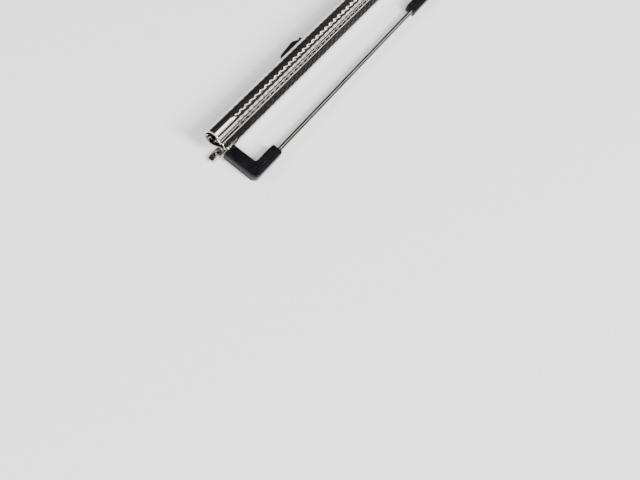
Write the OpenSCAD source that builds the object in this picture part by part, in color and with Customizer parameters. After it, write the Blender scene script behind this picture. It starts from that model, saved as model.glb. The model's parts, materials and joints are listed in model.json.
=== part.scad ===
// Wire-bow clip for a clipboard: a rolled sheet jaw, a spring-wire bow with plastic
// corner sleeves, a base plate with hinge ears, two torsion springs and a swivel hanger.
// Millimetres. X runs along the clip, +Y away from the paper, +Z up from the board.
// The origin is midway between the two rivet holes, on the underside of the base plate.

/* [Jaw] */
// Length of the rolled jaw
jaw_len = 118; // [112:1:130]
// Thickness of the jaw sheet
jaw_t = 0.6; // [0.5:0.05:0.65]
// Outer radius of the roll
roll_r = 3.2; // [3.15:0.05:3.3]
// Height of the hinge axis above the board
axis_z = 5.6; // [5.5:0.1:5.8]
// Gap left under the closed jaw for a few sheets
paper_gap = 0.4; // [0.3:0.05:0.6]

/* [Bow] */
// Diameter of the bow wire
bow_d = 1.8; // [1.6:0.1:1.9]
// Distance between the two side arms of the bow
bow_w = 112.4; // [108:0.2:113]
// Distance of the front wire from the rivet hole line
bow_reach = 16.6; // [15:0.1:22]

/* [Sleeves] */
// Width of the side leg of a corner sleeve
sleeve_side_w = 5.2; // [4.4:0.1:5.4]
// Width of the front leg of a corner sleeve
sleeve_front_w = 4.2; // [3.6:0.1:4.6]
// Length of the front leg, measured from the outer side
sleeve_front_len = 14.8; // [12:0.2:20]
// Height of a corner sleeve
sleeve_h = 3; // [2.8:0.1:3.2]

/* [Base plate] */
// Overall length of the base plate
base_len = 125.8; // [122:0.2:136]
// Thickness of the base sheet
base_t = 0.8; // [0.6:0.1:0.8]
// Distance between the two rivet holes
rivet_pitch = 80; // [70:1:86]
// Diameter of a rivet hole
rivet_hole_d = 4.2; // [3.5:0.1:4.5]

/* [Hanger] */
// Thickness of the hanger plate
hanger_t = 1; // [0.8:0.05:1]
// Reach of the hanger from its pivot
hanger_len = 12.4; // [11:0.2:13]

/* [Hidden] */
$fn = 48;
eps = 0.01;
run_gap = 0.05;

// Hinge axis in the section plane, given as [y, z]
hinge = [0.8, axis_z];
roll_in = roll_r - jaw_t;

// Ears that carry the hinge
ear_t = 1;
ear_w = 3;
ear_r = roll_in - 0.1;
ear_relief_r = 2.1;
ear_relief_from = 55;
ear_relief_to = 175;
ear_inner_x = 30;
ear_mid_x = 46.6;
ear_outer_x = 52.6;
slot_w = ear_t + 0.6;
rod_r = 1;
rod_half = ear_inner_x + 1;

// The apron wall stops here at its two ends
notch_y = -4.05;

// Bow path
bow_r = bow_d / 2;
arm_x = bow_w / 2;
bow_z = 1.7;
kink_y = -5.1;
arm_rise = atan2(axis_z - bow_z, hinge[0] - kink_y);
front_bend = 2.6;
pivot_bend = 2;
journal_end = ear_mid_x - 1;

// Sleeves
sleeve_z = 0.1;
sleeve_back_y = -4.7;
sleeve_front_y = -bow_reach - 1.65;
sleeve_x = arm_x + sleeve_side_w / 2;
sleeve_corner = 2.2;
sleeve_tip = 0.8;

// Base plate
plate_half = 57;
plate_back_y = 3.4;
rail_y = [-3.95, -1.2];
rail_z = 1.2;
rail_r = 0.5;
pocket_half = 20;
pocket_z = 1.3;

// Torsion springs
spring_d = 0.7;
spring_mean_r = 1.65;
spring_pitch = 1;
spring_turns = 11;
spring_leg_x = 24;
spring_leg_foot = 1.2;
spring_exit = -125;
spring_leg = 2.7;
spring_steps = 14;

// Hanger, folded away to -X
pivot = [0, 2.2];
hanger_z = 0.1;
hanger_pivot_r = 1.3;
hanger_head_r = 2;
hanger_head_t = 0.35;
hanger_cap_t = 0.25;

function arc(c, r, a0, a1, n) =
    [for (i = [0:n]) let (a = a0 + (a1 - a0) * i / n) c + r * [cos(a), sin(a)]];

// Points of a cubic curve after its first point
function bezier(p, n) =
    [for (i = [1:n]) let (t = i / n, s = 1 - t)
        s^3 * p[0] + 3 * s^2 * t * p[1] + 3 * s * t^2 * p[2] + t^3 * p[3]];

// Unit vector to the left of a path at its point i
function left_of(path, i) =
    let (a = path[max(i - 1, 0)], b = path[min(i + 1, len(path) - 1)], d = (b - a) / norm(b - a))
    [-d[1], d[0]];

// A closed outline: the path, and back along its left side at distance t
function strip(path, t) =
    concat(path, [for (i = [len(path) - 1:-1:0]) path[i] + t * left_of(path, i)]);

// A sector of a disc about the hinge axis, as an outline
function sector(r, a0, a1) = concat([hinge], arc(hinge, r, a0, a1, 24));

// Outline of the folded jaw sheet: inner leaf, roll, groove, crest, sloping apron, nose and lip
roll_start = hinge + roll_r * [cos(-88), sin(-88)];
roll_end = hinge + roll_r * [cos(119), sin(119)];
leaf_tip = [-3.9, 4.1];
groove = [-2.25, axis_z + 1.25];
crest_r = 0.8;
crest_mid = [-3.05, axis_z + 0.75];
crest_top = crest_mid + [0, crest_r];
apron_slope = 45;
nose_r = 1;
nose_mid = [-4.5, axis_z - 0.97];
lip_lean = 11;
nose_end = nose_mid - nose_r * [cos(lip_lean), sin(lip_lean)];
lip = nose_end + (nose_end[1] - paper_gap) * [tan(lip_lean), -1];
jaw_line = concat(
    [leaf_tip],
    bezier([leaf_tip, [-1.9, 4.3], [-1.5, 2.35], roll_start], 10),
    arc(hinge, roll_r, -84, 119, 29),
    bezier([roll_end, roll_end - [0.65, 0.36], groove + [0.65, 0.05], groove], 8),
    bezier([groove, groove - [0.3, 0], crest_top + [0.5, 0], crest_top], 4),
    arc(crest_mid, crest_r, 98, 90 + apron_slope, 5),
    arc(nose_mid, nose_r, 90 + apron_slope, 180 + lip_lean, 7),
    [lip]);

// Extrudes an outline given in [y, z] over a length centred on x
module along_x(x, length) {
    translate([x - length / 2, 0, 0])
        rotate([90, 0, 90])
            linear_extrude(length) children();
}

// A round bar along X between x0 and x1 at [y, z]
module bar_x(x0, x1, at, r) {
    translate([x0, at[0], at[1]])
        rotate([0, 90, 0])
            cylinder(h = x1 - x0, r = r);
}

module both_sides() {
    children();
    mirror([1, 0, 0]) children();
}

// A flat ear bored for a shaft; its round head, in which the roll turns, is relieved
// where the jaw's groove sweeps past it
module ear(x, bore_r) {
    difference() {
        union() {
            bar_x(x - ear_t / 2, x + ear_t / 2, hinge, ear_r);
            translate([x - ear_t / 2, hinge[0] - ear_w / 2, base_t / 2])
                cube([ear_t, ear_w, axis_z - base_t / 2]);
        }
        bar_x(x - ear_t, x + ear_t, hinge, bore_r);
        along_x(x, 2 * ear_t)
            polygon(concat(
                arc(hinge, ear_r + 1, ear_relief_from, ear_relief_to, 12),
                arc(hinge, ear_relief_r, ear_relief_to, ear_relief_from, 24)));
    }
}

// The front rail that the paper's edge stops against, with round shoulders and ends
module front_rail() {
    rail_w = rail_y[1] - rail_y[0];
    mid = (rail_y[0] + rail_y[1]) / 2;
    difference() {
        union() {
            translate([-base_len / 2, rail_y[0], 0])
                cube([base_len, rail_w, rail_z - rail_r]);
            translate([-base_len / 2, rail_y[0] + rail_r, 0])
                cube([base_len, rail_w - 2 * rail_r, rail_z]);
            for (y = [rail_y[0] + rail_r, rail_y[1] - rail_r])
                bar_x(-base_len / 2, base_len / 2, [y, rail_z - rail_r], rail_r);
        }
        for (s = [-1, 1])
            translate([s * (base_len / 2 - rail_w / 2), mid, -eps])
                difference() {
                    translate([s > 0 ? 0 : -rail_w, -rail_w, 0])
                        cube([rail_w, 2 * rail_w, rail_z + 1]);
                    cylinder(h = rail_z + 1, r = rail_w / 2);
                }
    }
}

module base_plate() {
    plate_w = plate_back_y - rail_y[1];
    color("silver") difference() {
        union() {
            both_sides()
                translate([pocket_half - base_t, rail_y[1] - eps, 0])
                    cube([plate_half - pocket_half + base_t, plate_w + eps, base_t]);
            // Raised middle that houses the folded hanger, open at the back
            translate([-pocket_half, rail_y[1], pocket_z])
                cube([2 * pocket_half, plate_w, base_t]);
            both_sides()
                translate([pocket_half - base_t, rail_y[1], 0])
                    cube([base_t, plate_w, pocket_z + base_t]);
            translate([-pocket_half, rail_y[1] - base_t, rail_z / 2])
                cube([2 * pocket_half, base_t, pocket_z + base_t - rail_z / 2]);
            front_rail();
            both_sides() {
                ear(ear_inner_x, rod_r + run_gap);
                ear(ear_mid_x, bow_r + run_gap);
                ear(ear_outer_x, bow_r + run_gap);
            }
        }
        for (s = [-1, 1])
            translate([s * rivet_pitch / 2, 0, -1])
                cylinder(h = 3, d = rivet_hole_d);
        translate([pivot[0], pivot[1], pocket_z - 1])
            cylinder(h = 3, r = hanger_pivot_r);
    }
}

module hinge_rod() {
    color("dimgray") bar_x(-rod_half, rod_half, hinge, rod_r);
}

// Points of one spring: foot leg, coil about the hinge axis, leg on the jaw's leaf
function spring_path() =
    let (turned = 180 - spring_exit + 360 * spring_turns, n = ceil(turned / 360 * spring_steps),
         exit_dir = [sin(spring_exit), -cos(spring_exit)],
         end_x = spring_leg_x - spring_pitch * turned / 360,
         last = hinge + spring_mean_r * [cos(spring_exit), sin(spring_exit)])
    concat(
        [[spring_leg_x, hinge[0] - spring_mean_r, spring_leg_foot]],
        [for (i = [0:n]) let (f = i / n, a = 180 - turned * f)
            [spring_leg_x + (end_x - spring_leg_x) * f,
             hinge[0] + spring_mean_r * cos(a), hinge[1] + spring_mean_r * sin(a)]],
        [[end_x, last[0] + spring_leg * exit_dir[0], last[1] + spring_leg * exit_dir[1]]]);

function tangent(p, i) =
    let (d = p[min(i + 1, len(p) - 1)] - p[max(i - 1, 0)]) d / norm(d);

// Carries a side direction along the points, square to the path at each
function carried(p, i, side) =
    i == len(p) ? [] :
    let (t = tangent(p, i), w = side - (side * t) * t, u = w / norm(w))
    concat([u], carried(p, i + 1, u));

// Sweeps a ring along points; side is any direction square to the path at its start
module wire_sweep(p, r, sides, side) {
    n = len(p);
    across = carried(p, 0, side);
    rings = [for (i = [0:n - 1]) let (u = across[i], v = cross(tangent(p, i), u))
        for (k = [0:sides - 1]) p[i] + r * (cos(360 * k / sides) * u + sin(360 * k / sides) * v)];
    walls = [for (i = [0:n - 2], k = [0:sides - 1])
        let (a = i * sides, b = a + sides, m = (k + 1) % sides)
        [a + k, b + k, b + m, a + m]];
    start_cap = [for (k = [0:sides - 1]) k];
    end_cap = [for (k = [sides - 1:-1:0]) (n - 1) * sides + k];
    polyhedron(rings, concat(walls, [start_cap, end_cap]));
}

module torsion_spring() {
    color("gray") wire_sweep(spring_path(), spring_d / 2, 8, [1, 0, 0]);
}

module torsion_spring_right() {
    torsion_spring();
}

module torsion_spring_left() {
    mirror([1, 0, 0]) torsion_spring();
}

// Slots that let the ears and the spring feet through the roll and the leaf
module jaw_slots() {
    both_sides() {
        for (x = [ear_inner_x, ear_mid_x, ear_outer_x, spring_leg_x])
            along_x(x, slot_w) polygon(sector(4.4, -165, 15));
        along_x(arm_x, bow_d + 0.7) polygon(sector(6.5, -176, -98));
    }
}

// The apron's lower wall is cut back at each end, where the bow arms pass
module jaw_end_notches() {
    both_sides()
        translate([ear_outer_x + 0.3, notch_y - 2, -1])
            cube([jaw_len / 2 - ear_outer_x + 1, 2, axis_z + 0.8]);
}

module jaw() {
    color("lightgray") difference() {
        along_x(0, jaw_len) polygon(strip(jaw_line, jaw_t));
        jaw_slots();
        jaw_end_notches();
    }
}

// Points of one half of the bow wire, from its front bend to the end of its journal
function half_bow_path() =
    let (rise = [0, cos(arm_rise), sin(arm_rise)], axis = [0, hinge[0], hinge[1]],
         kink = [arm_x, kink_y, bow_z], front = [arm_x - front_bend, front_bend - bow_reach, bow_z])
    concat(
        [for (i = [0:6]) let (a = -90 + 15 * i) front + front_bend * [cos(a), sin(a), 0]],
        [for (i = [0:3]) let (t = i / 3) kink + (t * t * rise - (1 - t) * (1 - t) * [0, 1, 0])],
        [for (i = [0:6]) let (a = 15 * i)
            axis + [arm_x - pivot_bend * (1 - cos(a)), 0, 0] - pivot_bend * (1 - sin(a)) * rise],
        [axis + [journal_end, 0, 0]]);

// The whole bow: the mirrored half backwards, then the half
function bow_path() =
    let (half = half_bow_path(), n = len(half))
    concat([for (i = [n - 1:-1:0]) [-half[i][0], half[i][1], half[i][2]]], half);

module bow() {
    color("silver") wire_sweep(bow_path(), bow_r, 16, [0, 0, 1]);
}

// Plan outline of a corner sleeve on the +X side
module sleeve_outline() {
    front_mid = sleeve_front_y + sleeve_front_w / 2;
    difference() {
        union() {
            translate([sleeve_x - sleeve_side_w, front_mid])
                square([sleeve_side_w, sleeve_back_y - front_mid]);
            translate([sleeve_x - sleeve_front_len + sleeve_tip, sleeve_front_y])
                square([sleeve_front_len - sleeve_tip - sleeve_corner, sleeve_front_w]);
            translate([sleeve_x - sleeve_front_len, sleeve_front_y + sleeve_tip])
                square([sleeve_front_len, sleeve_front_w - 2 * sleeve_tip]);
            translate([sleeve_x - sleeve_corner, sleeve_front_y + sleeve_corner]) circle(sleeve_corner);
            for (y = [sleeve_tip, sleeve_front_w - sleeve_tip])
                translate([sleeve_x - sleeve_front_len + sleeve_tip, sleeve_front_y + y])
                    circle(sleeve_tip);
        }
        translate([sleeve_x - sleeve_corner, sleeve_front_y - 1])
            difference() {
                square(sleeve_corner + 1);
                translate([0, sleeve_corner + 1]) circle(sleeve_corner);
            }
    }
}

module sleeve() {
    color([0.1, 0.1, 0.11]) difference() {
        translate([0, 0, sleeve_z]) linear_extrude(sleeve_h) sleeve_outline();
        wire_sweep(bow_path(), bow_r + 0.02, 16, [0, 0, 1]);
    }
}

module sleeve_right() {
    sleeve();
}

module sleeve_left() {
    mirror([1, 0, 0]) sleeve();
}

// Round corners of the hanger plate, each [x, y, radius]; the tongue ends in a small tip
pivot_corner = [0, pivot[1], 3];
tip_corner = [0.3, 5.8, 0.6];
tongue_root = [pivot_corner[0], pivot_corner[1], 1.6];
plate_corners = [
    [-hanger_len + 1.6, 0.9, 1.6], [-hanger_len + 1.9, 4.6, 1.8], [-3.4, 5.5, 1.6],
    pivot_corner, [-6, 0.5, 1.2]];

// Round corners of the eye that drops over a hook, each [x, y, radius]
eye_corners = [[-9.7, 2, 0.9], [-5.4, 1.5, 0.9], [-6.2, 3.9, 0.9]];

module hull_of(corners) {
    hull()
        for (c = corners)
            translate([c[0], c[1]]) circle(c[2]);
}

module hanger() {
    color([0.07, 0.07, 0.08]) difference() {
        translate([0, 0, hanger_z]) linear_extrude(hanger_t) hanger_outline();
        translate([pivot[0], pivot[1], 0]) {
            cylinder(h = 3, r = hanger_pivot_r + run_gap);
            cylinder(h = hanger_z + hanger_head_t + run_gap, r = hanger_head_r + run_gap);
        }
        linear_extrude(hanger_z + hanger_t + 1) hull_of(eye_corners);
    }
}

module hanger_outline() {
    hull_of(plate_corners);
    hull_of([tongue_root, tip_corner]);
}

// A shouldered rivet, flush in the hanger and headed over the raised middle
module hanger_rivet() {
    pocket_top = pocket_z + base_t;
    color("gray") translate([pivot[0], pivot[1], 0]) {
        translate([0, 0, hanger_z])
            cylinder(h = hanger_head_t, r = hanger_head_r);
        translate([0, 0, hanger_z + hanger_head_t / 2])
            cylinder(h = pocket_top - hanger_z - hanger_head_t / 2 + eps, r = hanger_pivot_r - eps);
        translate([0, 0, pocket_top])
            cylinder(h = hanger_cap_t, r = hanger_head_r);
    }
}

base_plate();
hinge_rod();
torsion_spring_left();
torsion_spring_right();
jaw();
bow();
sleeve_left();
sleeve_right();
hanger();
hanger_rivet();
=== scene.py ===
"""Looks of a clipboard's spring clip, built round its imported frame.

Lengths are in millimetres and angles in degrees unless a comment says otherwise. Blender's own
unit is the metre, and MM turns one into the other.
"""
import json
import math

import bmesh
import bpy
import numpy as np
from mathutils import Matrix, Vector


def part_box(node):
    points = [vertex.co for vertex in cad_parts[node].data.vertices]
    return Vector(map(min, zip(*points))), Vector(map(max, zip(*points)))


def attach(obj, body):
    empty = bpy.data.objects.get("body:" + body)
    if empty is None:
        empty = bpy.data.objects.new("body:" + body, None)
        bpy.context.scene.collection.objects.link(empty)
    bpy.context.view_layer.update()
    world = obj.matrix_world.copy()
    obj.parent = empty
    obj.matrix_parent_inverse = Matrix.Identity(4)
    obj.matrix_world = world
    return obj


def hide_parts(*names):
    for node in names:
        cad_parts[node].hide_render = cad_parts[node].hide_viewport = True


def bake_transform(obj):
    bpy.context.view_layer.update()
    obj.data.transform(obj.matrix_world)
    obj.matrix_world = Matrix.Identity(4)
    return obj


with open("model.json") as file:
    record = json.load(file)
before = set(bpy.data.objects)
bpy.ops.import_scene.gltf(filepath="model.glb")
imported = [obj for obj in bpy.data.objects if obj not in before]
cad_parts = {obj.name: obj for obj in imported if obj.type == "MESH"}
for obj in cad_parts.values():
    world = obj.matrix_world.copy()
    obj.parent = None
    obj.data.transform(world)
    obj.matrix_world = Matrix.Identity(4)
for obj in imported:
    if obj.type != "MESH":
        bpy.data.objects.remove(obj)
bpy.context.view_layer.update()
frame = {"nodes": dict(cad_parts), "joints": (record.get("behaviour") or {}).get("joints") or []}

MM = 0.001

# ---------------------------------------------------------------- dimensions
# The hinge axis runs along X, and HINGE is its place in [y, z]
HINGE = next(np.array(j["pos_m"][1:]) / MM for j in frame["joints"] if j["name"] == "jaw_open")
JAW_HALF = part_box("jaw")[1][0] / MM
ROLL_R = (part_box("jaw")[1][2] / MM) - HINGE[1]
PAPER_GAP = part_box("jaw")[0][2] / MM
SHEET = 0.6

# Outline of the jaw in [y, z], from the hidden leaf round the roll to the lip
LEAF_CURVE = ([-3.9, 4.1], [-1.9, 4.3], [-1.5, 2.35])
ROLL_FROM, ROLL_TO = -88, 119
GROOVE = np.array([-2.25, HINGE[1] + 1.25])
CREST_MID, CREST_R = np.array([-3.05, HINGE[1] + 0.75]), 0.8
NOSE_MID, NOSE_R = np.array([-4.5, HINGE[1] - 0.97]), 1.0
APRON_ANGLE = 135
LIP_LEAN = 11
LINE_STEP = 0.185
PLAIN_LENGTH = 9.3          # first part of the outline, which carries no stamping

BOW_R = 0.9
BOW_Z = 1.7
ARM_X = 56.2
BOW_REACH = 16.6
KINK_Y = -5.1
FRONT_BEND = 2.6
PIVOT_BEND = 2.0
JOURNAL_END = 45.6
BOW_STEP = 0.45

SPRING_LEG_X = 24.0
SPRING_R = 1.65
SPRING_WIRE_R = 0.34
SPRING_PITCH = 1.0
SPRING_TURNS = 11
SPRING_EXIT = -125          # angle round the hinge at which the tail leaves the coil
SPRING_TAIL = 2.7
SPRING_FOOT_Z = 1.2

# Openings in the jaw. A slot is cut between two angles round the hinge, out to a radius
EAR_X = (30.0, 46.6, 52.6)
SLOT_W = 1.6
EAR_SLOT = (-165, 15, 4.4)
ARM_SLOT = (-176, -98, 6.5)
ARM_SLOT_HALF = BOW_R + 0.35
NOTCH_X = EAR_X[2] + 0.3
NOTCH_Y = -4.05
NOTCH_TOP = HINGE[1] + 0.05

# Stamped pattern: its pitch, its heights and how far it reaches to each side of the middle
EMBOSS_PITCH = 2.8
APRON_ROWS = 2.1            # pitch across the apron
SQUARENESS = 1.4
ROLL_EMBOSS = 0.08
GROOVE_EMBOSS = 0.05
APRON_EMBOSS = 0.024
EMBOSS_END = 50.2
APRON_END = 58.0
# Where it lies, as lengths along the sheet past the end of the roll
STAMP_FROM = 9.5            # this one from the start of the outline
HIGHLIGHT_ROW = 0.81        # this one back from the roll's end: the row stamped deepest
ROW_WIDTH = 1.1
FAR_SHARE = 0.3             # depth left away from that row
GROOVE_BAND = (0.5, 2.9)
GROOVE_PHASE = 1.1
APRON_FROM = 3.9
# Flat strip on the plain ends of the roll
FLAT_WIDTH = 2.8
FLAT_DEPTH = 0.048


# ---------------------------------------------------------------- materials
def node_tools(tree):
    """Two functions, one that adds a node to the tree and one that links two sockets."""
    def add(kind, **values):
        node = tree.nodes.new(kind)
        for key, value in values.items():
            if key in node.inputs:
                node.inputs[key].default_value = value
            else:
                setattr(node, key, value)
        return node

    return add, tree.links.new


def material(name):
    """A new material and its shader."""
    mat = bpy.data.materials.new(name)
    mat.use_nodes = True
    return mat, mat.node_tree.nodes["Principled BSDF"]


def ramp(add, stops):
    """A colour ramp through stops of (position, grey or colour)."""
    node = add("ShaderNodeValToRGB")
    elements = node.color_ramp.elements
    while len(elements) < len(stops):
        elements.new(0.5)
    for element, (at, colour) in zip(elements, stops):
        rgb = colour if isinstance(colour, tuple) else (colour,) * 3
        element.position = at
        element.color = (*rgb, 1)
    return node


def drive(tools, source, stops, socket):
    """Feeds a shader's socket from a texture through a colour ramp."""
    add, link = tools
    colours = ramp(add, stops)
    link(source, colours.inputs["Fac"])
    link(colours.outputs["Color"], socket)


def relief(tools, source, strength, metres, shader):
    """A bump on the shader, as high as metres where the texture is 1."""
    add, link = tools
    bump = add("ShaderNodeBump", Strength=strength, Distance=metres)
    link(source, bump.inputs["Height"])
    link(bump.outputs["Normal"], shader.inputs["Normal"])


def texture(tools, kind, stretch=None, **values):
    """A texture in the object's own space, drawn out along an axis if stretch says so."""
    add, link = tools
    place = add("ShaderNodeTexCoord").outputs["Object"]
    if stretch:
        mapping = add("ShaderNodeMapping", Scale=stretch)
        link(place, mapping.inputs["Vector"])
        place = mapping.outputs["Vector"]
    node = add(kind, **values)
    link(place, node.inputs["Vector"])
    return node.outputs["Distance" if kind == "ShaderNodeTexVoronoi" else "Fac"]


def plated(name, tint, dark, rough):
    """Bright plating: slow tint changes, fine polishing grain and a few dull smudges."""
    mat, shader = material(name)
    tools = node_tools(mat.node_tree)
    slow = texture(tools, "ShaderNodeTexNoise", Scale=90.0, Detail=4.0, Roughness=0.6)
    drive(tools, slow, [(0.3, dark), (0.7, tint)], shader.inputs["Base Color"])
    smudge = texture(tools, "ShaderNodeTexNoise", Scale=260.0, Detail=6.0, Roughness=0.65)
    drive(tools, smudge, [(0.35, rough), (0.75, rough * 2.1)], shader.inputs["Roughness"])
    fine = texture(tools, "ShaderNodeTexNoise", (0.12, 1, 1), Scale=3600.0, Detail=3.0)
    relief(tools, fine, 0.05, 0.00002, shader)
    shader.inputs["Metallic"].default_value = 1.0
    return mat


def moulded(name, colour, light, rough):
    """Moulded plastic: fine spark-erosion grain, faint rubbed patches."""
    mat, shader = material(name)
    tools = node_tools(mat.node_tree)
    rubbed = texture(tools, "ShaderNodeTexNoise", Scale=220.0, Detail=5.0, Roughness=0.7)
    drive(tools, rubbed, [(0.45, colour), (0.8, light)], shader.inputs["Base Color"])
    drive(tools, rubbed, [(0.3, rough), (0.7, rough + 0.14)], shader.inputs["Roughness"])
    grain = texture(tools, "ShaderNodeTexVoronoi", Scale=5200.0)
    relief(tools, grain, 0.1, 0.00002, shader)
    shader.inputs["Specular IOR Level"].default_value = 0.2
    return mat


def painted(name, colour, scuffed, rough):
    """Stoved paint with a slight orange peel and thin scuffs that show the metal's grey."""
    mat, shader = material(name)
    tools = node_tools(mat.node_tree)
    scuff = texture(tools, "ShaderNodeTexNoise", (1, 0.08, 1), Scale=1500.0, Detail=5.0,
                    Roughness=0.7)
    drive(tools, scuff, [(0.66, colour), (0.78, scuffed)], shader.inputs["Base Color"])
    drive(tools, scuff, [(0.4, rough), (0.75, rough + 0.2)], shader.inputs["Roughness"])
    peel = texture(tools, "ShaderNodeTexNoise", Scale=2600.0, Detail=1.0)
    relief(tools, peel, 0.12, 0.00004, shader)
    return mat


jaw_chrome = plated("jaw_chrome", (0.66, 0.64, 0.61), (0.52, 0.50, 0.48), 0.07)
base_chrome = plated("base_chrome", (0.64, 0.62, 0.58), (0.46, 0.44, 0.41), 0.16)
# The bow's plating takes a darker tint than the jaw's: painted shade, standing in for the dark room
# that the wire mirrors
bow_chrome = plated("bow_chrome", (0.36, 0.35, 0.33), (0.28, 0.27, 0.26), 0.06)
rod_steel = plated("rod_steel", (0.52, 0.52, 0.52), (0.36, 0.36, 0.36), 0.28)
spring_steel = plated("spring_steel", (0.42, 0.42, 0.44), (0.25, 0.25, 0.26), 0.3)
sleeve_plastic = moulded("sleeve_plastic", (0.003, 0.003, 0.004), (0.008, 0.008, 0.009), 0.22)
hanger_black = painted("hanger_black", (0.008, 0.008, 0.01), (0.09, 0.09, 0.095), 0.3)


# ---------------------------------------------------------------- mesh helpers
def shade(obj, sharp):
    """Smooth shading, with edges sharper than an angle left sharp."""
    obj.data.polygons.foreach_set("use_smooth", [True] * len(obj.data.polygons))
    obj.data.set_sharp_from_angle(angle=math.radians(sharp))


def add_object(name, points, faces, mat, sharp=35):
    """A mesh object from points in millimetres."""
    mesh = bpy.data.meshes.new(name)
    mesh.from_pydata([tuple(p) for p in np.asarray(points) * MM], [], [tuple(f) for f in faces])
    mesh.validate()
    bm = bmesh.new()
    bm.from_mesh(mesh)
    bmesh.ops.recalc_face_normals(bm, faces=bm.faces)
    bm.to_mesh(mesh)
    bm.free()
    mesh.materials.append(mat)
    obj = bpy.data.objects.new(name, mesh)
    bpy.context.scene.collection.objects.link(obj)
    shade(obj, sharp)
    return obj


def round_edges(obj, width, segments, angle, sharp):
    """Rounds each edge that turns by more than an angle, as part of the mesh."""
    bevel = obj.modifiers.new("edges", "BEVEL")
    bevel.width = width * MM
    bevel.segments = segments
    bevel.limit_method = "ANGLE"
    bevel.angle_limit = math.radians(angle)
    graph = bpy.context.evaluated_depsgraph_get()
    graph.update()
    mesh = bpy.data.meshes.new_from_object(obj.evaluated_get(graph))
    obj.modifiers.clear()
    obj.data = mesh
    shade(obj, sharp)


def finish_piece(obj, body, node):
    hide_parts(node)
    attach(obj, body)


def at_angle(mid, r, angle):
    """The point of a circle at an angle."""
    return mid + r * np.array([math.cos(math.radians(angle)), math.sin(math.radians(angle))])


def arc(mid, r, a0, a1, n):
    """An arc in n steps."""
    angles = np.radians(np.linspace(a0, a1, n + 1))
    return np.asarray(mid) + r * np.column_stack([np.cos(angles), np.sin(angles)])


def cubic(p0, p1, p2, p3, n):
    """A Bezier curve in n steps."""
    t = np.linspace(0, 1, n + 1)[:, None]
    s = 1 - t
    p0, p1, p2, p3 = map(np.asarray, (p0, p1, p2, p3))
    return s**3 * p0 + 3 * s**2 * t * p1 + 3 * s * t**2 * p2 + t**3 * p3


def even(points, step):
    """The same line with points at even spacing, and the length along it at each point."""
    points = np.asarray(points, float)
    gaps = np.linalg.norm(np.diff(points, axis=0), axis=1)
    points = points[np.r_[True, gaps > 1e-6]]
    along = np.r_[0, np.cumsum(np.linalg.norm(np.diff(points, axis=0), axis=1))]
    at = np.linspace(0, along[-1], max(2, int(round(along[-1] / step)) + 1))
    return np.column_stack([np.interp(at, along, column) for column in points.T]), at


def directions(points):
    """The unit tangent of a line at each of its points."""
    d = np.gradient(points, axis=0)
    return d / np.linalg.norm(d, axis=1)[:, None]


def tube_faces(rings, sides):
    """The faces of a closed solid whose points are rings of the same number of points."""
    faces = []
    for i in range(rings - 1):
        here, there = i * sides, (i + 1) * sides
        for k in range(sides):
            beside = (k + 1) % sides
            faces.append((here + k, there + k, there + beside, here + beside))
    last = (rings - 1) * sides
    return [*faces, tuple(range(sides)), tuple(range(last, last + sides))]


def sweep(name, path, r, sides, mat, side=(0, 0, 1)):
    """A round wire along a path, with domed ends."""
    path = np.asarray(path, float)
    along = directions(path)
    dome = np.radians([75, 50, 25])
    first = path[0] - along[0] * (r * np.sin(dome))[:, None]
    last = path[-1] + along[-1] * (r * np.sin(dome[::-1]))[:, None]
    radii = np.concatenate([r * np.cos(dome), np.full(len(path), r), r * np.cos(dome[::-1])])
    path = np.vstack([first, path, last])
    along = np.vstack([np.repeat(along[:1], 3, 0), along, np.repeat(along[-1:], 3, 0)])
    u = np.asarray(side, float)
    points, ring = [], np.arange(sides) * 2 * math.pi / sides
    for p, t, radius in zip(path, along, radii):
        u = u - t * (u @ t)
        u /= np.linalg.norm(u)
        v = np.cross(t, u)
        points.extend(p + radius * (math.cos(a) * u + math.sin(a) * v) for a in ring)
    return add_object(name, points, tube_faces(len(path), sides), mat, sharp=60)


# ---------------------------------------------------------------- jaw
def jaw_line():
    """The outer line of the jaw's sheet, the length along it, and that length at the roll's end."""
    roll_end = at_angle(HINGE, ROLL_R, ROLL_TO)
    crest_top = CREST_MID + [0, CREST_R]
    nose_end = at_angle(NOSE_MID, NOSE_R, 180 + LIP_LEAN)
    lip = nose_end + (nose_end[1] - PAPER_GAP) * np.array([math.tan(math.radians(LIP_LEAN)), -1])
    parts = [
        cubic(*LEAF_CURVE, at_angle(HINGE, ROLL_R, ROLL_FROM), 30),
        arc(HINGE, ROLL_R, ROLL_FROM, ROLL_TO, 120),
        cubic(roll_end, roll_end - [0.65, 0.36], GROOVE + [0.65, 0.05], GROOVE, 24),
        cubic(GROOVE, GROOVE - [0.3, 0], crest_top + [0.5, 0], crest_top, 18),
        arc(CREST_MID, CREST_R, 90, APRON_ANGLE, 12),
        arc(NOSE_MID, NOSE_R, APRON_ANGLE, 180 + LIP_LEAN, 16),
        [lip],
    ]
    line, at = even(np.vstack(parts), LINE_STEP)
    corner = at[np.argmin(np.linalg.norm(line - roll_end, axis=1))]
    # Every second point is enough where nothing is stamped
    kept = (at > PLAIN_LENGTH) | (np.arange(len(at)) % 2 == 0)
    return line[kept], at[kept], corner


def fade(distance, over):
    """0 outside the edge of a patch, 1 once well inside it."""
    return np.clip(distance / over, 0, 1)


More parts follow.
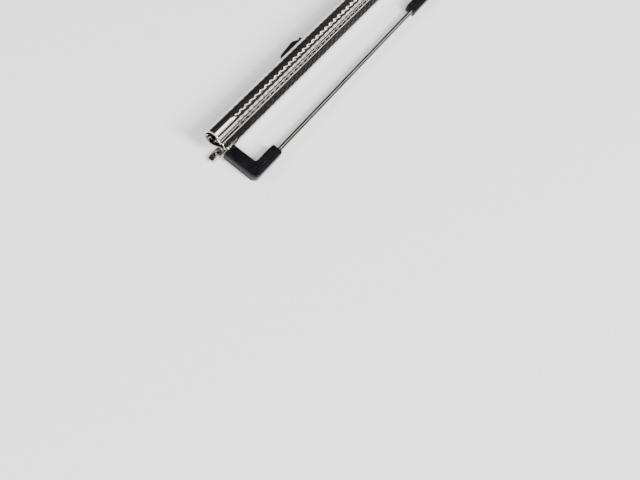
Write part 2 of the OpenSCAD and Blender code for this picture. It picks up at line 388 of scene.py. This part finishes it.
def emboss(x, s, corner):
    """Height of the stamped pattern at x along the clip and s along the sheet."""
    def chequer(rows, from_s):
        squares = np.tanh(SQUARENESS * np.sin(2 * math.pi / EMBOSS_PITCH * x))
        return squares * np.sin(2 * math.pi / rows * (s - from_s))

    ends = fade(EMBOSS_END - np.abs(x), 2.2)
    apron_ends = fade(APRON_END - np.abs(x), 1)
    row = s - corner + HIGHLIGHT_ROW
    # The stamping is deepest along one row and fades round the roll
    depth = ROLL_EMBOSS * (FAR_SHARE + (1 - FAR_SHARE) * np.exp(-(row / ROW_WIDTH) ** 2))
    # The plain ends of the roll are pressed a little flat along the same row
    flat = -FLAT_DEPTH * np.cos(2 * math.pi * np.clip(row / FLAT_WIDTH, -0.5, 0.5))
    on_roll = fade(corner - 0.15 - s, 0.35) * fade(s - STAMP_FROM, 2.0)
    on_groove = fade(s - corner - GROOVE_BAND[0], 0.3) * fade(corner + GROOVE_BAND[1] - s, 0.3)
    on_apron = fade(s - corner - APRON_FROM, 0.4)
    return (1 - ends) * on_roll * (flat - FLAT_DEPTH) + ends * (
        depth * on_roll * chequer(EMBOSS_PITCH, corner - HIGHLIGHT_ROW)
        + GROOVE_EMBOSS * on_groove * chequer(EMBOSS_PITCH, corner + GROOVE_PHASE)
    ) + apron_ends * APRON_EMBOSS * on_apron * chequer(APRON_ROWS, corner)


def jaw_kept(x, y, z):
    """Is the sheet there, away from the ear slots, arm slots and end notches?"""
    rel_y, rel_z = y - HINGE[0], z - HINGE[1]
    angle, r = np.degrees(np.arctan2(rel_z, rel_y)), np.hypot(rel_y, rel_z)
    far = np.abs(x)

    def slot(middle, half, first, last, reach):
        return (np.abs(far - middle) < half) & (angle > first) & (angle < last) & (r < reach)

    cut = (far > NOTCH_X) & (y < NOTCH_Y) & (z < NOTCH_TOP)
    cut |= slot(ARM_X, ARM_SLOT_HALF, *ARM_SLOT)
    for middle in (*EAR_X, SPRING_LEG_X):
        cut |= slot(middle, SLOT_W / 2, *EAR_SLOT)
    return ~cut


def jaw_rows():
    """Places along the clip for the jaw's rows of points: an even grid and each cut's edges."""
    cuts = [e + s * SLOT_W / 2 for e in (*EAR_X, SPRING_LEG_X) for s in (-1, 1)]
    cuts += [ARM_X - ARM_SLOT_HALF, ARM_X + ARM_SLOT_HALF, NOTCH_X]
    step = EMBOSS_PITCH / 8
    grid = np.arange(0, JAW_HALF, step)
    grid = grid[[min(abs(g - c) for c in cuts) > step / 3 for g in grid]]
    half = np.unique(np.r_[grid[grid < JAW_HALF - step / 2], cuts, JAW_HALF])
    return np.r_[-half[:0:-1], half]


def build_jaw():
    line, at, corner = jaw_line()
    along = directions(line)
    out = np.column_stack([along[:, 1], -along[:, 0]])
    xs = jaw_rows()
    nx, ns = len(xs), len(line)
    height = emboss(xs[:, None], at[None, :], corner)
    outer = np.empty((nx, ns, 3))
    outer[..., 0] = xs[:, None]
    outer[..., 1:] = line[None] + height[..., None] * out[None]
    inner = outer.copy()
    inner[..., 1:] -= SHEET * out[None]
    mid_x = (xs[1:] + xs[:-1]) / 2
    mid = (line[1:] + line[:-1]) / 2
    kept = jaw_kept(mid_x[:, None], mid[None, :, 0], mid[None, :, 1])
    number = np.arange(nx * ns).reshape(nx, ns)
    shift = nx * ns
    a, b, c, d = number[:-1, :-1], number[1:, :-1], number[1:, 1:], number[:-1, 1:]
    quads = np.stack([a, b, c, d], -1)[kept]
    faces = [tuple(q) for q in quads] + [tuple(q + shift) for q in quads[:, ::-1]]
    # A rim joins the two skins wherever a kept cell has no kept cell beside it
    padded = np.pad(kept, 1)
    for dx, ds, e0, e1 in ((-1, 0, a, d), (1, 0, c, b), (0, -1, b, a), (0, 1, d, c)):
        beside = padded[1 + dx:1 + dx + kept.shape[0], 1 + ds:1 + ds + kept.shape[1]]
        rim = kept & ~beside
        faces += [(p, q, q + shift, p + shift) for p, q in zip(e0[rim], e1[rim])]
    points = np.concatenate([outer.reshape(-1, 3), inner.reshape(-1, 3)])
    used = np.unique(np.concatenate([np.ravel(f) for f in faces]))
    renumber = np.full(len(points), -1)
    renumber[used] = np.arange(len(used))
    faces = [tuple(renumber[list(f)]) for f in faces]
    jaw = add_object("jaw_sheet", points[used], faces, jaw_chrome)
    round_edges(jaw, width=0.09, segments=2, angle=60, sharp=40)
    finish_piece(jaw, "jaw", "jaw")


# ---------------------------------------------------------------- bow
def half_bow_path():
    """The bow's right half: front bend, arm with its kink, bend into the hinge, journal."""
    rise = math.atan2(HINGE[1] - BOW_Z, HINGE[0] - KINK_Y)
    up = np.array([0, math.cos(rise), math.sin(rise)])
    pivot = np.array([0, *HINGE])
    front = np.array([ARM_X - FRONT_BEND, FRONT_BEND - BOW_REACH, BOW_Z])
    kink = np.array([ARM_X, KINK_Y, BOW_Z])
    quarter = np.radians(np.linspace(0, 90, 13))
    bend = [front + FRONT_BEND * np.array([math.sin(a), -math.cos(a), 0]) for a in quarter]
    t = np.linspace(0, 1, 9)[:, None]
    turn = kink + t**2 * up - (1 - t) ** 2 * np.array([0, 1, 0])
    pivot_bend = [
        pivot + [ARM_X - PIVOT_BEND * (1 - math.cos(a)), 0, 0] - PIVOT_BEND * (1 - math.sin(a)) * up
        for a in quarter
    ]
    end = pivot + [JOURNAL_END, 0, 0]
    return even(np.vstack([bend, turn, pivot_bend, [end]]), BOW_STEP)[0]


def build_bow():
    half = half_bow_path()
    x = np.linspace(-half[0, 0], half[0, 0], 90)[1:-1]
    front = np.column_stack([x, np.full_like(x, -BOW_REACH), np.full_like(x, BOW_Z)])
    path = np.vstack([half[::-1] * [-1, 1, 1], front, half])
    bow = sweep("bow_wire", path, BOW_R, 32, bow_chrome)
    finish_piece(bow, "bow", "bow")


# ---------------------------------------------------------------- sleeves
def rounded_outline(corners, steps=7):
    """A closed outline through corners of (x, y, radius), each rounded to its radius."""
    points = []
    n = len(corners)
    for i, (x, y, r) in enumerate(corners):
        here = np.array([x, y])
        before = np.array(corners[i - 1][:2]) - here
        after = np.array(corners[(i + 1) % n][:2]) - here
        before, after = before / np.linalg.norm(before), after / np.linalg.norm(after)
        half = math.acos(np.clip(before @ after, -1, 1)) / 2
        back = r / math.tan(half)
        middle = here + (before + after) / np.linalg.norm(before + after) * r / math.sin(half)
        start, stop = here + before * back - middle, here + after * back - middle
        a0 = math.atan2(start[1], start[0])
        turned = (math.atan2(stop[1], stop[0]) - a0 + math.pi) % (2 * math.pi) - math.pi
        for k in range(steps + 1):
            a = a0 + turned * k / steps
            points.append(middle + r * np.array([math.cos(a), math.sin(a)]))
    return np.array(points)


def inset(outline, distance):
    """An anticlockwise outline moved inwards."""
    d = np.roll(outline, -1, 0) - np.roll(outline, 1, 0)
    d /= np.linalg.norm(d, axis=1)[:, None]
    return outline + distance * np.column_stack([-d[:, 1], d[:, 0]])


def loft(outline, levels):
    """Points and faces of a solid from an outline inset by each (inset, z) level."""
    points = [(*p, z) for depth, z in levels for p in inset(outline, depth)]
    return points, tube_faces(len(levels), len(outline))


def edge_levels(z0, z1, foot, r, steps=5):
    """Levels of a block with a small bevel at the foot and a round top edge."""
    angles = np.linspace(0, math.pi / 2, steps + 1)
    top = [(r * (1 - math.cos(a)), z1 - r + r * math.sin(a)) for a in angles]
    return [(foot, z0), (0, z0 + foot), *top]


def build_sleeve(side):
    name = "sleeve_right" if side > 0 else "sleeve_left"
    low, high = (np.array(corner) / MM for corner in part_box(name))
    out_x, back_y, front_y = max(abs(low[0]), abs(high[0])), high[1], low[1]
    tip_x = min(abs(low[0]), abs(high[0]))
    side_w, front_w = 5.2, 4.2
    outline = rounded_outline([
        (tip_x, front_y, 0.8), (out_x, front_y, 2.2), (out_x, back_y, 0.5),
        (out_x - side_w, back_y, 0.5), (out_x - side_w, front_y + front_w, 0.7),
        (tip_x, front_y + front_w, 0.8),
    ])
    points, faces = loft(outline, edge_levels(low[2], high[2], foot=0.12, r=0.42))
    # Three low ribs run along the front leg
    rib_half, rib_round = 0.17, 0.16
    rib_levels = [(0, high[2] - 0.2), (0, high[2] + 0.03), (0.06, high[2] + 0.07)]
    x0, x1 = tip_x + 1.1, out_x - 2.6
    for i in range(3):
        middle = front_y + 1.15 + i * 0.95
        y0, y1 = middle - rib_half, middle + rib_half
        corners = [(x, y, rib_round) for x, y in ((x0, y0), (x1, y0), (x1, y1), (x0, y1))]
        rib_points, rib_faces = loft(rounded_outline(corners, 3), rib_levels)
        faces += [tuple(f + len(points) for f in face) for face in rib_faces]
        points += rib_points
    points = np.array(points) * [side, 1, 1]
    sleeve = add_object("bow_" + name, points, faces, sleeve_plastic, sharp=50)
    finish_piece(sleeve, "bow", name)


def build_spring(side):
    name = "torsion_spring_right" if side > 0 else "torsion_spring_left"
    exit_angle = math.radians(SPRING_EXIT)
    turned = math.pi - exit_angle + 2 * math.pi * SPRING_TURNS
    per_turn = 30
    t = np.linspace(0, 1, int(turned / (2 * math.pi) * per_turn))
    angle = math.pi - turned * t
    coil = np.column_stack([
        SPRING_LEG_X - SPRING_PITCH * turned / (2 * math.pi) * t,
        HINGE[0] + SPRING_R * np.cos(angle), HINGE[1] + SPRING_R * np.sin(angle),
    ])
    foot = np.linspace([SPRING_LEG_X, HINGE[0] - SPRING_R, SPRING_FOOT_Z], coil[0], 9)[:-1]
    away = np.array([0, math.sin(exit_angle), -math.cos(exit_angle)])
    tail = coil[-1] + np.linspace(0, SPRING_TAIL, 8)[1:, None] * away
    path = np.vstack([foot, coil, tail]) * [side, 1, 1]
    spring = sweep(name + "_wire", path, SPRING_WIRE_R, 12, spring_steel, side=(1, 0, 0))
    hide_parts(name)
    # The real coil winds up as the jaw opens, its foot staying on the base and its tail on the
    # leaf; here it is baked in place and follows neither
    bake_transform(spring)


# ---------------------------------------------------------------- pieces carried over
def soften(node, mat, body, width):
    """A copy of a CAD piece with welded corners and rounded edges."""
    bm = bmesh.new()
    bm.from_mesh(frame["nodes"][node].data)
    bmesh.ops.remove_doubles(bm, verts=bm.verts, dist=1e-6)
    bmesh.ops.dissolve_limit(bm, angle_limit=math.radians(1), verts=bm.verts, edges=bm.edges)
    mesh = bpy.data.meshes.new(node + "_finished")
    bm.to_mesh(mesh)
    bm.free()
    mesh.materials.clear()
    mesh.materials.append(mat)
    obj = bpy.data.objects.new(node + "_finished", mesh)
    bpy.context.scene.collection.objects.link(obj)
    round_edges(obj, width, segments=3, angle=40, sharp=35)
    finish_piece(obj, body, node)


# ---------------------------------------------------------------- stage
# Each light's name, place and size along Y and across it in metres, and power in watts
LIGHTS = (
    ("key", (0.805, -0.25, 0.978), 0.2, 0.66, 2.5),
    ("window", (0.2, -1.15, 1.0), 0.5, 0.8, 54),
    ("fill", (-1.0, -0.3, 1.0), 1.0, 0.8, 27),
    ("back", (-0.7, 1.2, 0.9), 0.6, 0.5, 19),
)
# The pale glow just above the floor by height, and the dim patches of the room
HORIZON = ((0.0, 0.5), (0.06, 0.42), (0.1, 0.08), (0.16, 0.0))
ROOM = ((0.4, (0.022, 0.022, 0.026)), (0.62, (0.11, 0.1, 0.095)))

CAMERA_PLACE = (-0.2077, -0.0601, 0.2453)
CAMERA_BACK = (-0.5150, -0.0482, 0.8558)
CAMERA_RIGHT = (0.5523, -0.7822, 0.2883)


def build_stage():
    bpy.ops.mesh.primitive_plane_add(size=6.0, location=(0, 0, -0.00002))
    floor = bpy.context.object
    floor.name = "floor"
    mat, shader = material("floor_paper")
    shader.inputs["Base Color"].default_value = (0.8, 0.81, 0.81, 1)
    shader.inputs["Roughness"].default_value = 0.85
    shader.inputs["Specular IOR Level"].default_value = 0.2
    floor.data.materials.append(mat)


def softbox(name, place, size_x, size_y, watts):
    light = bpy.data.lights.new(name, "AREA")
    light.shape = "RECTANGLE"
    light.size, light.size_y = size_x, size_y
    light.energy = watts
    obj = bpy.data.objects.new(name, light)
    bpy.context.scene.collection.objects.link(obj)
    obj.location = place
    obj.rotation_mode = "QUATERNION"
    obj.rotation_quaternion = (-Vector(place)).to_track_quat("-Z", "Y")


def build_world():
    """What the chrome mirrors: a dim room over a pale horizon."""
    world = bpy.data.worlds.new("studio")
    bpy.context.scene.world = world
    world.use_nodes = True
    world.node_tree.nodes.clear()
    add, link = node_tools(world.node_tree)
    place = add("ShaderNodeTexCoord")
    split = add("ShaderNodeSeparateXYZ")
    link(place.outputs["Generated"], split.inputs[0])
    horizon = ramp(add, HORIZON)
    link(split.outputs["Z"], horizon.inputs["Fac"])
    patches = add("ShaderNodeTexNoise", Scale=4.5)
    link(place.outputs["Generated"], patches.inputs["Vector"])
    room = ramp(add, ROOM)
    link(patches.outputs["Fac"], room.inputs["Fac"])
    sky = add("ShaderNodeMix", data_type="RGBA", blend_type="ADD")
    sky.inputs["Factor"].default_value = 1.0
    link(horizon.outputs["Color"], sky.inputs["A"])
    link(room.outputs["Color"], sky.inputs["B"])
    shine = add("ShaderNodeBackground")
    link(sky.outputs["Result"], shine.inputs["Color"])
    out = add("ShaderNodeOutputWorld")
    link(shine.outputs[0], out.inputs["Surface"])


def build_camera():
    """The photographer stood over the clip's left end and looked along it, tilted to the side."""
    data = bpy.data.cameras.new("camera")
    data.lens, data.sensor_width = 50.0, 36.0
    data.clip_start, data.clip_end = 0.01, 20.0
    cam = bpy.data.objects.new("camera", data)
    bpy.context.scene.collection.objects.link(cam)
    back = Vector(CAMERA_BACK).normalized()
    right = Vector(CAMERA_RIGHT)
    right = (right - back * right.dot(back)).normalized()
    up = back.cross(right)
    turn = Matrix((right, up, back)).transposed().to_4x4()
    cam.matrix_world = Matrix.Translation(CAMERA_PLACE) @ turn
    bpy.context.scene.camera = cam


build_camera()
build_stage()
for lamp in LIGHTS:
    softbox(*lamp)
build_world()
build_jaw()
build_bow()
for hand in (-1, 1):
    build_sleeve(hand)
    build_spring(hand)
soften("base_plate", base_chrome, "base", 0.14)
soften("hinge_rod", rod_steel, "base", 0.2)
soften("hanger_rivet", rod_steel, "base", 0.08)
soften("hanger", hanger_black, "hanger", 0.16)
